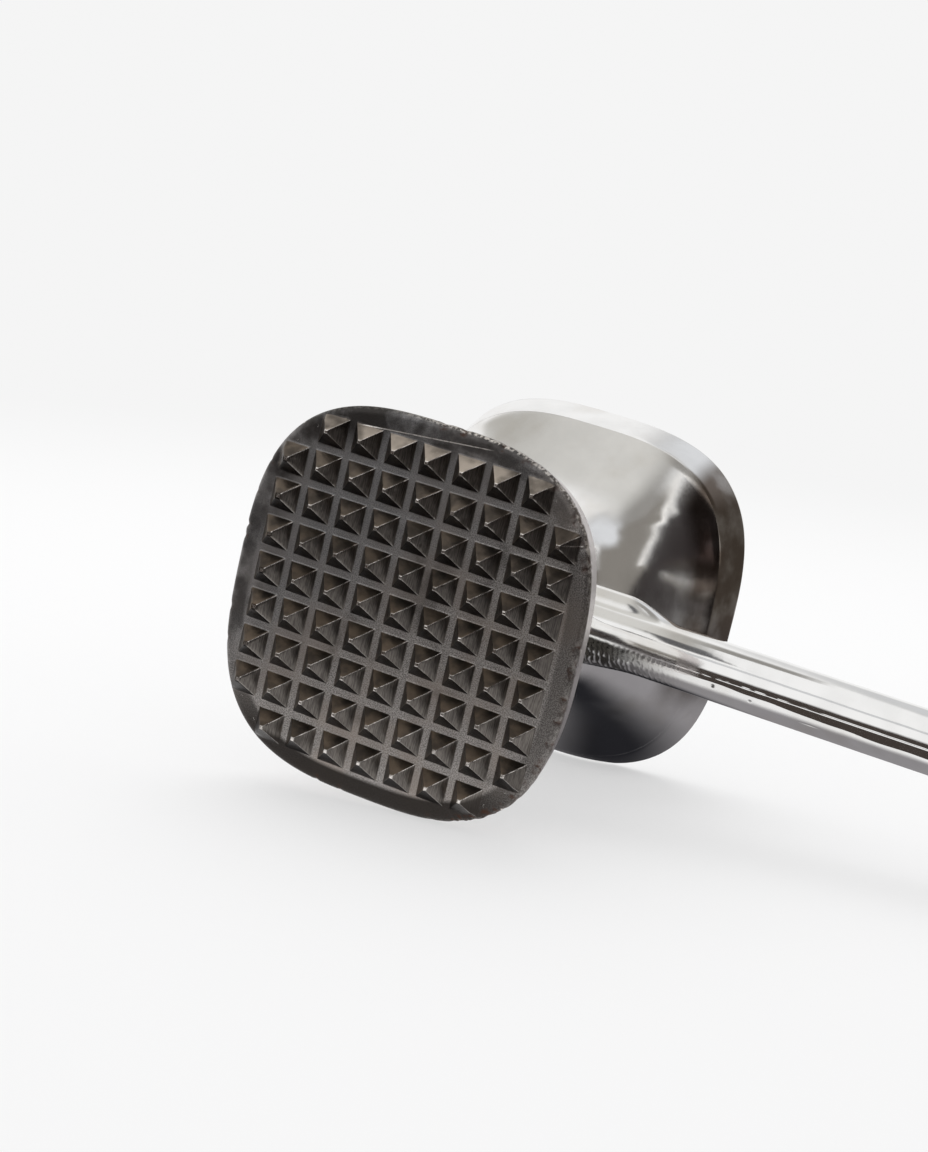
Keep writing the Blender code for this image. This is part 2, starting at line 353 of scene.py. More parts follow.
def head_frame():
    """World matrix of the mallet's own frame, worked out from the record."""
    record = frame["record"]
    face = Vector(record["mounts"][0]["pos_m"])
    low, high = (Vector(corner) for corner in record["physics"]["openings"][0]["box_m"])
    along = (low + high) / 2 - face
    tilt = math.atan2(-along.z, along.x)
    middle = face - Vector((0, HEAD_LENGTH / 2, 0))
    return Matrix.Translation(middle) @ Matrix.Rotation(tilt, 4, "Y")


HEAD = head_frame()


# Shape helpers

def smooth_step(low, high, value):
    share = np.clip((value - low) / (high - low), 0.0, 1.0)
    return share * share * (3 - 2 * share)


def bell(value, width):
    return np.exp(-(value / width) ** 2)


def soft_max(a, b, radius):
    """Larger of two values, with a rounded change from one to the other."""
    share = np.clip(0.5 + 0.5 * (a - b) / radius, 0.0, 1.0)
    return b + (a - b) * share + radius * share * (1 - share)


def grain(points, wavelength, seed):
    """Smooth noise from about -1 to 1 at each point."""
    offset = Vector((seed * 1.37, seed * 2.11, seed * 0.73))
    return np.array([noise.noise(Vector(p) / wavelength + offset) for p in points])


def ring_faces(rings, count, first=0):
    """Quads between rows of rings with the same count of points."""
    faces = []
    for ring in range(rings - 1):
        start = first + ring * count
        for index in range(count):
            after = (index + 1) % count
            faces.append((start + index, start + after, start + count + after, start + count + index))
    return faces


def rings_of(rows, count):
    """Points of superellipses given as rows of (half width, half height, exponent, depth)."""
    turn = np.arange(count) * math.tau / count
    across, up = np.cos(turn), np.sin(turn)
    points = []
    for half_x, half_z, exponent, depth in rows:
        x = half_x * np.sign(across) * np.abs(across) ** (2 / exponent)
        z = half_z * np.sign(up) * np.abs(up) ** (2 / exponent)
        points.append(np.column_stack((x, np.full(count, depth), z)))
    return np.vstack(points)


def capped(rings, count):
    """Faces of rows of rings with both ends closed."""
    faces = ring_faces(rings, count)
    faces.append(tuple(range(count)))
    faces.append(tuple(range((rings - 1) * count, rings * count)))
    return faces


def new_mesh(name, points, faces):
    mesh = bpy.data.meshes.new(name)
    mesh.from_pydata([HEAD @ Vector(p) for p in points], [], faces)
    shape = bmesh.new()
    shape.from_mesh(mesh)
    bmesh.ops.recalc_face_normals(shape, faces=shape.faces)
    shape.to_mesh(mesh)
    shape.free()
    return mesh


def places_of(mesh):
    """Places of a mesh's points in the mallet's frame."""
    places = np.empty(len(mesh.vertices) * 3)
    mesh.vertices.foreach_get("co", places)
    back = np.array(HEAD.inverted())
    return places.reshape(-1, 3) @ back[:3, :3].T + back[:3, 3]


def keep_values(mesh, **layers):
    """Store the place in the mallet's frame, and one number per point for each layer, for the materials."""
    store = mesh.attributes.new("mallet", "FLOAT_VECTOR", "POINT")
    store.data.foreach_set("vector", places_of(mesh).ravel())
    for name, values in layers.items():
        store = mesh.attributes.new(name, "FLOAT", "POINT")
        store.data.foreach_set("value", np.asarray(values, dtype=np.float32))


def add_piece(name, mesh, material, node, slot, smooth_angle, **layers):
    """Make a piece that stands for a CAD node."""
    keep_values(mesh, **layers)
    mesh.shade_smooth()
    mesh.set_sharp_from_angle(angle=math.radians(smooth_angle))
    mesh.materials.clear()
    mesh.materials.append(material)
    piece = bpy.data.objects.new(name, mesh)
    bpy.context.scene.collection.objects.link(piece)
    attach(piece, "root")
    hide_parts(node)


def head_half(depth, waist):
    """Half size of the head at a depth along it, with a soft shoulder where the flare meets the plates."""
    seat_at = HEAD_LENGTH / 2 - PLATE_DEPTH
    seat = FACE_HALF - RIM_INSET
    nearby = np.linspace(-SHOULDER_SOFT, SHOULDER_SOFT, SHOULDER_SAMPLES)
    weight = 1 - np.abs(nearby) / (SHOULDER_SOFT * 1.02)
    spots = np.abs(depth + nearby)
    flare = waist + (seat - waist) * np.minimum(spots / seat_at, 1) ** FLARE_POWER
    side = RIM_INSET * np.maximum(spots - seat_at, 0) / (PLATE_DEPTH - EDGE_ROUND)
    return float(np.average(flare + side, weights=weight))


def plate_rows(face_rings, edge_steps, side_rings, back_ring):
    """Half size and depth of a plate's rings, from its face round the edge to its back."""
    rows = [(FACE_HALF * share, 0.0) for share in face_rings]
    for turn in np.linspace(0, math.pi / 2, edge_steps + 1):
        rows.append((FACE_HALF - EDGE_ROUND * (1 - math.sin(turn)), EDGE_ROUND * (1 - math.cos(turn))))
    for share in side_rings:
        depth = EDGE_ROUND + (PLATE_DEPTH - EDGE_ROUND) * share
        rows.append((head_half(HEAD_LENGTH / 2 - depth, WAIST_HALF_WIDTH), depth))
    rows.append((FACE_HALF * back_ring, PLATE_DEPTH))
    return rows


# Toothed plate

def tooth_lines():
    """Grid lines across the face: dense at the tips and the roots of the teeth."""
    half = TOOTH_PITCH / 2 * (1 - np.cos(np.linspace(0, math.pi, HALF_TOOTH_LINES))) / 2
    root = TOOTH_BASE + ROOT_FILLET * np.array((-1, -0.5, 0, 0.5, 1))
    tip = np.array((0.5, 1.0, 2.0)) * TOOTH_TIP
    half = np.concatenate((half, root, tip))
    lines = []
    for tooth in range(-TEETH_EACH_WAY, TEETH_EACH_WAY + 1):
        centre = tooth * TOOTH_PITCH
        lines.extend(centre + half)
        lines.extend(centre - half)
    edge = (TEETH_EACH_WAY + 0.5) * TOOTH_PITCH
    step = TOOTH_PITCH / MARGIN_LINES
    for beyond in np.arange(edge + step, FACE_HALF, step):
        lines.extend((beyond, -beyond))
    return np.unique(np.round(lines, 7))


def tooth_wear():
    """For each tooth: height share, shift of its tip and rounding of its ridges, with a worn left column."""
    count = 2 * TEETH_EACH_WAY + 1
    height = rng.uniform(*WORN_HEIGHT, (count, count))
    shift = rng.normal(0, TIP_SHIFT, (2, count, count))
    ridge = rng.uniform(*RIDGE_ROUND, (count, count))
    height[0, :] *= LEFT_HEIGHT
    ridge[0, :] += LEFT_ROUND
    return height, shift, ridge


def rim_share(u, v):
    """Superellipse radius of a point of the face as a share of the outline's."""
    total = (np.abs(u) / FACE_HALF) ** FACE_EXPONENT + (np.abs(v) / FACE_HALF) ** FACE_EXPONENT
    return total ** (1 / FACE_EXPONENT)


def nearest_tooth(u):
    return np.clip(np.round(u / TOOTH_PITCH), -TEETH_EACH_WAY, TEETH_EACH_WAY).astype(int)


def tooth_relief(u, v, wear):
    """Height of the teeth over the groove floors, and the place across and up on each tooth."""
    height, shift, ridge = wear
    column, row = nearest_tooth(u), nearest_tooth(v)
    i, j = column + TEETH_EACH_WAY, row + TEETH_EACH_WAY
    off_u, off_v = u - column * TOOTH_PITCH, v - row * TOOTH_PITCH
    pull = np.clip(1 - np.maximum(np.abs(off_u), np.abs(off_v)) / TOOTH_BASE, 0, 1)
    across = off_u - shift[0][i, j] * pull
    above = off_v - shift[1][i, j] * pull
    reach = soft_max(np.abs(across), np.abs(above), ridge[i, j])
    slope = TOOTH_HEIGHT / (TOOTH_BASE - TOOTH_TIP)
    rise = (TOOTH_BASE - reach) * slope
    rise = -soft_max(-rise, -TOOTH_HEIGHT * height[i, j], TIP_FILLET)
    rise = soft_max(rise, np.zeros_like(rise), ROOT_FILLET)
    corner = (np.abs(column) == TEETH_EACH_WAY) & (np.abs(row) == TEETH_EACH_WAY)
    fade = 1 - smooth_step(*TOOTH_FADE, rim_share(u, v))
    return np.where(corner, 0.0, rise) * fade, across / TOOTH_BASE, above / TOOTH_BASE


def loop_of(keep):
    """Outline of the kept cells of a grid, as (row, column) corners in order."""
    rows, columns = keep.shape
    following = {}
    for i, j in zip(*np.nonzero(keep)):
        if i == 0 or not keep[i - 1, j]:
            following[(i, j + 1)] = (i, j)
        if i == rows - 1 or not keep[i + 1, j]:
            following[(i + 1, j)] = (i + 1, j + 1)
        if j == 0 or not keep[i, j - 1]:
            following[(i, j)] = (i + 1, j)
        if j == columns - 1 or not keep[i, j + 1]:
            following[(i + 1, j + 1)] = (i, j + 1)
    start = next(iter(following))
    loop, here = [start], following[start]
    while here != start:
        loop.append(here)
        here = following[here]
    return loop


def zip_loops(inner, outer, points):
    """Triangles between two loops that both run once round the middle of the face."""
    def turns(loop):
        angles = [math.atan2(points[k][2], points[k][0]) for k in loop]
        if np.sum(np.diff(np.unwrap(angles))) < 0:
            loop, angles = loop[::-1], angles[::-1]
        first = int(np.argmin(angles))
        turned = angles[first:] + angles[:first]
        return loop[first:] + loop[:first], turned + [turned[0] + math.tau]

    inner, inner_turn = turns(inner)
    outer, outer_turn = turns(outer)
    faces, i, j = [], 0, 0
    while i < len(inner) or j < len(outer):
        a, b = inner[i % len(inner)], outer[j % len(outer)]
        if j == len(outer) or (i < len(inner) and inner_turn[i + 1] <= outer_turn[j + 1]):
            i += 1
            faces.append((a, inner[i % len(inner)], b))
        else:
            j += 1
            faces.append((a, outer[j % len(outer)], b))
    return faces


def tooth_grid():
    """Points and triangles of the toothed field, split along the ridges, and the loop round it."""
    lines = tooth_lines()
    u, v = np.meshgrid(lines, lines, indexing="ij")
    inside = rim_share(u, v) < GRID_EDGE
    keep = inside[:-1, :-1] & inside[1:, :-1] & inside[:-1, 1:] & inside[1:, 1:]
    mask = np.zeros(u.shape, bool)
    rows, columns = keep.shape
    for down in (0, 1):
        for across in (0, 1):
            mask[down:rows + down, across:columns + across] |= keep
    used = np.zeros(u.shape, int)
    used[mask] = np.arange(mask.sum())
    points = np.column_stack((u[mask], np.full(mask.sum(), -HEAD_LENGTH / 2), v[mask]))
    faces = []
    middles = (lines[:-1] + lines[1:]) / 2
    sides = middles - TOOTH_PITCH * nearest_tooth(middles)
    for i, j in zip(*np.nonzero(keep)):
        a, b, c, d = used[i, j], used[i + 1, j], used[i + 1, j + 1], used[i, j + 1]
        if sides[i] * sides[j] > 0:
            faces.extend(((a, b, c), (a, c, d)))
        else:
            faces.extend(((a, b, d), (b, c, d)))
    return points, faces, [used[spot] for spot in loop_of(keep)]


def rim_nicks(turn):
    """How far each point of the rim is knocked in, mostly along the lower right."""
    depth = np.zeros(len(turn))
    for spot in np.concatenate([rng.uniform(*zone) for zone in NICK_ZONES]):
        away = (turn - spot + 180) % 360 - 180
        width = rng.uniform(*NICK_WIDTH)
        depth = np.maximum(depth, rng.uniform(*NICK_DEPTH) * bell(away, width))
    return depth


def rim_wear_and_highlight(outer, depth, turn):
    """How bright the rim is: rubbed wear, with a painted highlight mostly along the upper right."""
    rub = smooth_step(*RUB_EDGE, outer) * (1 - smooth_step(*RUB_REACH, depth))
    upper_right = smooth_step(*HIGHLIGHT_FROM, turn) * (1 - smooth_step(*HIGHLIGHT_TO, turn))
    return rub * (RUB_LEAST + (1 - RUB_LEAST) * upper_right)


def make_toothed_plate(material):
    front = -HEAD_LENGTH / 2
    points, faces, inner_loop = tooth_grid()
    rows = plate_rows(*TOOTHED_RINGS)
    first = len(points)
    rim = rings_of([(half, half, FACE_EXPONENT, front + depth) for half, depth in rows], RIM_POINTS)
    points = np.vstack((points, rim))
    faces.extend(zip_loops(inner_loop, list(range(first, first + RIM_POINTS)), points))
    faces.extend(ring_faces(len(rows), RIM_POINTS, first))
    faces.append(tuple(range(len(points) - RIM_POINTS, len(points))))

    x, y, z = points.T.copy()
    depth = y - front
    rise, across, above = tooth_relief(x, z, tooth_wear())
    rise = np.where(depth < FACE_REACH, rise, 0.0)
    outer = rim_share(x, z)
    turn = np.degrees(np.arctan2(z, x))
    edge = smooth_step(*NICK_EDGE, outer) * (1 - smooth_step(EDGE_ROUND, NICK_REACH, depth))
    nick = rim_nicks(turn) * edge
    rub = rim_wear_and_highlight(outer, depth, turn)
    sag = sum(height * grain(points, wavelength, seed) for height, wavelength, seed in SAGS)
    reach = np.maximum(np.hypot(x, z), 1e-6)
    points[:, 0] -= x / reach * nick
    points[:, 2] -= z / reach * nick
    points[:, 1] -= rise
    points[:, 1] += nick * NICK_LEAN
    points[:, 1] -= np.where(points[:, 1] < front + PLATE_DEPTH - SAG_CLEAR, sag, 0.0)

    mesh = new_mesh("toothed_face", points, faces)
    add_piece("toothed_face", mesh, material, "toothed_plate", "dark_cast", smooth_angle=50,
              rise=rise / TOOTH_HEIGHT, across=across, above=above, outer=outer, rub=rub,
              nick=nick / NICK_DEPTH[1])


# Smooth plate, head body and handle

def make_smooth_plate(material):
    face = HEAD_LENGTH / 2
    seat = face - PLATE_DEPTH
    rows = plate_rows(*SMOOTH_RINGS)[::-1]
    points = rings_of([(half, half, FACE_EXPONENT, face - depth) for half, depth in rows], HEAD_POINTS)
    wave = np.where(points[:, 1] < face - EDGE_ROUND / 2, SIDE_WAVE, FACE_WAVE)
    wave = wave * smooth_step(seat, seat + SEAT_CALM, points[:, 1])
    wave = 1 + wave * grain(points, PLATE_WAVELENGTH, seed=11)
    points[:, 0] *= wave
    points[:, 2] *= wave
    mesh = new_mesh("smooth_face", points, capped(len(rows), HEAD_POINTS))
    add_piece("smooth_face", mesh, material, "smooth_plate", "polished", smooth_angle=30)


def make_body(material):
    half_length = HEAD_LENGTH / 2 - PLATE_DEPTH - SEAT_GAP
    rows = []
    for share in np.linspace(-1, 1, BODY_SECTIONS):
        depth = share * half_length
        exponent = WAIST_EXPONENT + (FACE_EXPONENT - WAIST_EXPONENT) * abs(share) ** FLARE_POWER
        half_x, half_z = (head_half(depth, waist) for waist in (WAIST_HALF_WIDTH, WAIST_HALF_HEIGHT))
        rows.append((half_x, half_z, exponent, depth))
    points = rings_of(rows, HEAD_POINTS)
    turn = np.tile(np.arange(HEAD_POINTS) * 360 / HEAD_POINTS, BODY_SECTIONS)
    corner = bell((turn % 90) - 45, CORNER_DEGREES)
    inner = 1 - smooth_step(*BODY_WAVE_ENDS, np.abs(points[:, 1]) / half_length)
    wave = BODY_WAVE * grain(points, BODY_WAVELENGTH, seed=21)
    wave += CORNER_WAVE * corner * grain(points, CORNER_WAVELENGTH, seed=23)
    points[:, 0] *= 1 + wave * inner
    points[:, 2] *= 1 + wave * inner
    mesh = new_mesh("waisted_body", points, capped(BODY_SECTIONS, HEAD_POINTS))
    add_piece("waisted_body", mesh, material, "head_body", "polished", smooth_angle=40)


def bar_radius(along):
    """Radius of the plain bar: a neck that swells to the grip, and a round butt."""
    swell = smooth_step(NECK_END, GRIP_START, along)
    radius = NECK_RADIUS + (GRIP_RADIUS - NECK_RADIUS) * swell
    past = np.clip(along - (HANDLE_REACH - GRIP_RADIUS), 0, GRIP_RADIUS)
    return np.where(past > 0, np.sqrt(np.maximum(GRIP_RADIUS ** 2 - past ** 2, 0)), radius)


def root_swell(along, degrees):
    """Extra radius at the root: a full blunt boss over the back, a thin fillet below."""
    over = smooth_step(*ROOT_OVER_FRONT, degrees) * (1 - smooth_step(*ROOT_OVER_BACK, degrees))
    over = over * ROOT_OVER * (1 - smooth_step(ROOT_BLUNT, ROOT_END, along))
    under = ROOT_UNDER * (1 - smooth_step(ROOT_START, ROOT_UNDER_END, along))
    return over + under * smooth_step(*ROOT_UNDER_FRONT, degrees) * smooth_step(*ROOT_UNDER_BACK, degrees)


def before_grip(along):
    """1 along the flat, fading towards the grip."""
    return 1 - smooth_step(FLAT_END, GRIP_START, along)


def filed_flat(along, degrees, wobble):
    """Extra radius below the flat that a file left along the parting line."""
    lower = np.interp(along, FLAT_WIDENS, FLAT_DROP) + FLAT_WOBBLE * wobble
    drop = np.clip(-degrees, FLAT_TOP, lower)
    edge = math.cos(math.radians(FLAT_TOP + FLAT_TILT)) / np.cos(np.radians(drop + FLAT_TILT))
    fade = 1 - smooth_step(lower, FLAT_FADE, -degrees)
    ends = smooth_step(FLAT_START, FLAT_FULL, along) * before_grip(along)
    return NECK_RADIUS * (edge - 1) * fade * ends


def bar_grain(along, degrees, wavelength, seed):
    """Smooth noise over the round of the bar."""
    turn = np.radians(degrees)
    spots = np.column_stack((along, NECK_RADIUS * np.cos(turn), NECK_RADIUS * np.sin(turn)))
    return grain(spots, wavelength, seed)


def file_marks(along, degrees):
    """Height of a file's coarse marks on the front and the underside of the root, and the dirt in them,
    which is also painted shade at the root.
    """
    rough = bar_grain(along, degrees, MARK_ROUGHNESS, seed=33)
    zone = smooth_step(*MARK_TOP, degrees + MARK_RAGGED * rough) * smooth_step(*MARK_BOTTOM, degrees)
    zone = zone * smooth_step(MARK_END, MARK_FULL, along)
    slant = along + MARK_SLANT * degrees
    wave = np.sin(math.tau * slant / MARK_WAVE + MARK_JITTER * rough)
    height = MARK_EVEN * wave + MARK_UNEVEN * rough
    clean = smooth_step(*CLEAN_ANGLES, degrees) * smooth_step(*CLEAN_HEIGHT, height)
    return MARK_DEPTH * zone * height, zone * (1 - CLEAN_SHARE * clean)


def pits(along, degrees):
    """Small holes in the casting below the parting line."""
    depth = np.zeros_like(along)
    for spot, angle, size in PITS:
        away = np.hypot(along - spot, np.radians(degrees - angle) * NECK_RADIUS)
        depth += PIT_DEPTH * size * bell(away, PIT_RADIUS * size)
    return depth


def drill_hang_hole(mesh):
    """Cut the rounded hole for a hook through the butt."""
    rows = []
    for side in (-1, 1):
        for share in np.linspace(1, 0, DRILL_STEPS):
            depth = side * (DRILL_REACH * share + DRILL_MIDDLE)
            flare = HANG_HOLE_ROUND * smooth_step(*HANG_HOLE_FLARE, abs(depth))
            rows.append((HANG_HOLE_RADIUS + flare, depth))
    rows.sort(key=lambda row: row[1])
    points = rings_of([(radius, radius, 2, depth) for radius, depth in rows], DRILL_POINTS)
    points[:, 0] += HANDLE_REACH - HANG_HOLE_SETBACK
    drill = bpy.data.objects.new("drill", new_mesh("drill", points, capped(len(rows), DRILL_POINTS)))
    bar = bpy.data.objects.new("bar", mesh)
    for helper in (drill, bar):
        bpy.context.scene.collection.objects.link(helper)
    cut = bar.modifiers.new("hang_hole", "BOOLEAN")
    cut.operation = "DIFFERENCE"
    cut.solver = "EXACT"
    cut.object = drill
    drilled = bpy.data.meshes.new_from_object(bar.evaluated_get(bpy.context.evaluated_depsgraph_get()))
    for helper in (drill, bar):
        bpy.data.objects.remove(helper)
    return drilled


def make_handle(material):
    butt = HANDLE_REACH - GRIP_RADIUS
    stations = np.concatenate((
        np.arange(HANDLE_INSIDE, FINE_END, FINE_STEP),
        np.arange(FINE_END, butt, COARSE_STEP),
        butt + GRIP_RADIUS * np.sin(np.linspace(0, math.pi / 2, BUTT_STEPS))[:-1]))
    angles = np.concatenate((np.arange(*FINE_ANGLES), np.arange(*COARSE_ANGLES)))
    along, degrees = (grid.ravel() for grid in np.meshgrid(stations, angles, indexing="ij"))
    degrees = (degrees + 180) % 360 - 180
    turn = np.radians(degrees)
    line = np.column_stack((along, np.zeros_like(along), np.zeros_like(along)))
    bead = np.clip(0.5 + 0.9 * grain(line, BEAD_LENGTH, seed=31), 0, 1)
    bead = bead * smooth_step(FLAT_START, BEAD_FULL, along)
    marks, _ = file_marks(along, degrees)

    radius = bar_radius(along) + root_swell(along, degrees)
    radius += filed_flat(along, degrees, grain(line, FLAT_WOBBLE_LENGTH, seed=35))
    radius += BEAD * bead * bell(degrees - BEAD_ANGLE, BEAD_WIDTH) * before_grip(along)
    radius += marks - pits(along, degrees)
    radius += BAR_WAVE * bar_grain(along, degrees, BAR_WAVELENGTH, seed=37)
    points = np.column_stack((along, -radius * np.cos(turn), radius * np.sin(turn)))
    mesh = drill_hang_hole(new_mesh("bar_handle", points, capped(len(stations), len(angles))))

    places = places_of(mesh)
    along, degrees = places[:, 0], np.degrees(np.arctan2(places[:, 2], -places[:, 1]))
    _, dirt = file_marks(along, degrees)
    # Dirt and painted shade in the file marks and the pits
    dirt = np.maximum(dirt, np.minimum(pits(along, degrees) / PIT_DEPTH, 1.0))
    add_piece("bar_handle", mesh, material, "handle", "polished", smooth_angle=40, dirt=dirt)


# Materials

class Graph:
    """Short calls for the nodes of a material or of the world."""

    def __init__(self, owner):
        owner.use_nodes = True
        self.owner = owner
        self.nodes = owner.node_tree.nodes
        self.links = owner.node_tree.links

    def put(self, socket, value):
        """Set a socket, or link it where the value is another node's output."""
        if isinstance(value, bpy.types.NodeSocket):
            self.links.new(value, socket)
        else:
            socket.default_value = value

    def add(self, kind, *values, **settings):
        node = self.nodes.new("ShaderNode" + kind)
        for name, value in settings.items():
            setattr(node, name, value)
        for socket, value in zip(node.inputs, values):
            self.put(socket, value)
        return node

    def math(self, operation, *values):
        return self.add("Math", *values, operation=operation).outputs[0]

    def times(self, first, *others):
        """Product of values."""
        for other in others:
            first = self.math("MULTIPLY", first, other)
        return first

    def most(self, first, *others):
        """Largest of values."""
        for other in others:
            first = self.math("MAXIMUM", first, other)
        return first

    def ramp(self, value, low, high, start=0.0, end=1.0):
        """Smooth change from start at low to end at high."""
        node = self.add("MapRange", value, low, high, start, end, interpolation_type="SMOOTHSTEP")
        return node.outputs[0]

    def mix(self, share, first, second):
        """Colour between two others."""
        node = self.nodes.new("ShaderNodeMix")
        node.data_type = "RGBA"
        for index, value in ((0, share), (6, first), (7, second)):
            self.put(node.inputs[index], value)
        return node.outputs[2]

    def axes(self, vector):
        return self.add("SeparateXYZ", vector).outputs

    def dot(self, first, second):
        return self.add("VectorMath", first, second, operation="DOT_PRODUCT").outputs["Value"]

    def value_of(self, name):
        """A number kept on the mesh."""
        return self.add("Attribute", attribute_name=name).outputs["Fac"]

    def place(self):
        """The place in the mallet's own frame."""
        return self.add("Attribute", attribute_name="mallet").outputs["Vector"]

    def noise(self, place, wavelength, detail=2.0, stretch=(1, 1, 1)):
        """Noise from 0 to 1, about a wavelength across, longer along a stretched axis."""
        scale = [1 / (wavelength * longer) for longer in stretch]
        scaled = self.add("VectorMath", place, scale, operation="MULTIPLY").outputs[0]
        node = self.add("TexNoise", scaled)
        node.inputs["Scale"].default_value = 1.0
        node.inputs["Detail"].default_value = detail
        return node.outputs[0]

    def scratch(self, x, z, start, end):
        """1 on a thin straight line across the face between two places (x, z)."""
        slope = (end[1] - start[1]) / (end[0] - start[0])
        line = self.math("MULTIPLY_ADD", x, slope, start[1] - slope * start[0])
        off = self.math("ABSOLUTE", self.math("SUBTRACT", z, line))
        starts = self.ramp(x, start[0], start[0] + SCRATCH_FADE)
        ends = self.ramp(x, end[0] - SCRATCH_FADE, end[0], 1.0, 0.0)
        return self.times(self.ramp(off, *SCRATCH_WIDTH, 1.0, 0.0), starts, ends)

    def layers(self, colour, *layers):
        """Colour under layers of other colours, each a share and a tone."""
        for share, tone in layers:
            colour = self.mix(share, colour, tone)
        return colour

    def bump(self, height, depth, below=None):
        """Relief of a depth in metres, over another one."""
        node = self.nodes.new("ShaderNodeBump")
        node.inputs["Distance"].default_value = depth
        self.put(node.inputs["Height"], height)
        if below:
            self.links.new(below, node.inputs["Normal"])
        return node.outputs[0]


def new_material(name):
    """Graph of a new material, and its shader."""
    graph = Graph(bpy.data.materials.new(name))
    return graph, graph.nodes["Principled BSDF"]


def dress_metal(graph, shader, colour, roughness, relief):
    """Finish a metal, and hand out its material."""
    shader.inputs["Metallic"].default_value = 1.0
    graph.put(shader.inputs["Base Color"], colour)
    graph.put(shader.inputs["Roughness"], roughness)
    graph.put(shader.inputs["Normal"], relief)
    return graph.owner


def plate_values(graph):
    """What the toothed plate's colours are worked out from."""
    plate = SimpleNamespace(place=graph.place())
    for name in ("rise", "across", "above", "outer", "rub", "nick"):
        setattr(plate, name, graph.value_of(name))
    plate.x, plate.y, plate.z = graph.axes(plate.place)
    plate.wide = graph.math("ABSOLUTE", plate.across)
    plate.tall = graph.math("ABSOLUTE", plate.above)
    plate.tooth = graph.ramp(plate.rise, *TOOTH_STARTS)
    plate.speckle = graph.noise(plate.place, SPECKLE, 3.0)
    plate.streaks = graph.noise(plate.place, STREAK, 2.0, STREAK_STRETCH)
    corner = graph.math("SUBTRACT", plate.z, graph.times(plate.x, CORNER_SLOPE))
    plate.corner = graph.ramp(corner, *UPPER_LEFT)
    return plate


def plate_colour(graph, plate):
    """Speckled groove floors and brown teeth, with painted light and shade on the flanks: lighter streaked
    right flanks, nearly black lower flanks, and a painted highlight on the upper flanks near the top of the
    face.
    """
    above, across, wide, tall = plate.above, plate.across, plate.wide, plate.tall
    upper = graph.times(plate.tooth, graph.ramp(graph.math("SUBTRACT", above, wide), *FLANK_EDGE))
    lower = graph.times(plate.tooth, graph.ramp(graph.math("ADD", above, wide), *FLANK_EDGE, 1.0, 0.0))
    right = graph.times(plate.tooth, graph.ramp(graph.math("SUBTRACT", across, tall), *FLANK_EDGE))
    patches = graph.noise(plate.place, BROWN_PATCH, 4.0)
    brown = graph.mix(graph.ramp(patches, 0.35, 0.65), UPPER_DARK, UPPER_BROWN)
    # Lighter streaked tone of the right flanks: painted light, with real streaks
    cut = graph.mix(graph.ramp(plate.streaks, 0.35, 0.65), RIGHT_DARK, RIGHT_LIGHT)
    warm = graph.ramp(graph.noise(plate.place, WARM_PATCH, 3.0), 0.42, 0.66, 0.0, 0.6)
    # Painted highlight on the upper flanks of the top row, and a little lower down
    painted_highlight = graph.ramp(plate.z, *TOP_ROW, 0.0, 0.62)
    painted_highlight = graph.math("ADD", painted_highlight, graph.ramp(plate.z, *PALER_UP, 0.0, 0.12))
    painted_highlight = graph.times(painted_highlight, upper, graph.ramp(patches, 0.3, 0.6, 0.45, 1.1))
    return graph.layers(
        graph.mix(graph.ramp(plate.speckle, 0.36, 0.66), GROOVE_DARK, GROOVE_LIGHT),
        (warm, GROOVE_WARM),
        (graph.times(plate.corner, 0.55), GROOVE_COOL),
        (plate.tooth, brown),
        # Painted light on the right flanks
        (right, cut),
        # Painted shade on the lower flanks
        (graph.times(lower, 0.92), LOWER_PAINTED_SHADE),
        # Painted highlight on the upper flanks
        (painted_highlight, UPPER_PAINTED_HIGHLIGHT))


def plate_stain_and_shade(graph, plate):
    """Dark stains: a mottled margin, blotches at the upper left and wider patches, and painted shade that
    darkens the margin towards the bottom and the lower right.
    """
    margin = graph.ramp(plate.outer, *MARGIN)
    mottle = graph.ramp(graph.noise(plate.place, MOTTLE, 6.0), 0.30, 0.62)
    mottle = graph.times(mottle, margin, graph.ramp(plate.corner, 0.0, 1.0, 0.25, 0.72))
    # Painted shade: the margin darker towards the bottom and the lower right
    below = graph.times(margin, graph.ramp(plate.z, *LOWER_MARGIN, 0.95, 0.0))
    beside = graph.times(margin, graph.ramp(plate.corner, 0.0, 0.6, 0.46, 0.0))
    blotch = graph.ramp(graph.noise(plate.place, BLOTCH, 4.0), 0.36, 0.58, 0.15, 0.88)
    blotch = graph.times(
        blotch, graph.ramp(plate.outer, *BLOTCH_EDGE), plate.corner,
        graph.ramp(plate.z, *BLOTCH_UP), graph.ramp(plate.tooth, 0.0, 1.0, 1.0, 0.25))
    spread = graph.ramp(graph.noise(plate.place, SPREAD, 5.0), 0.56, 0.72, 0.0, 0.5)
    return graph.most(mottle, below, blotch, beside, spread)


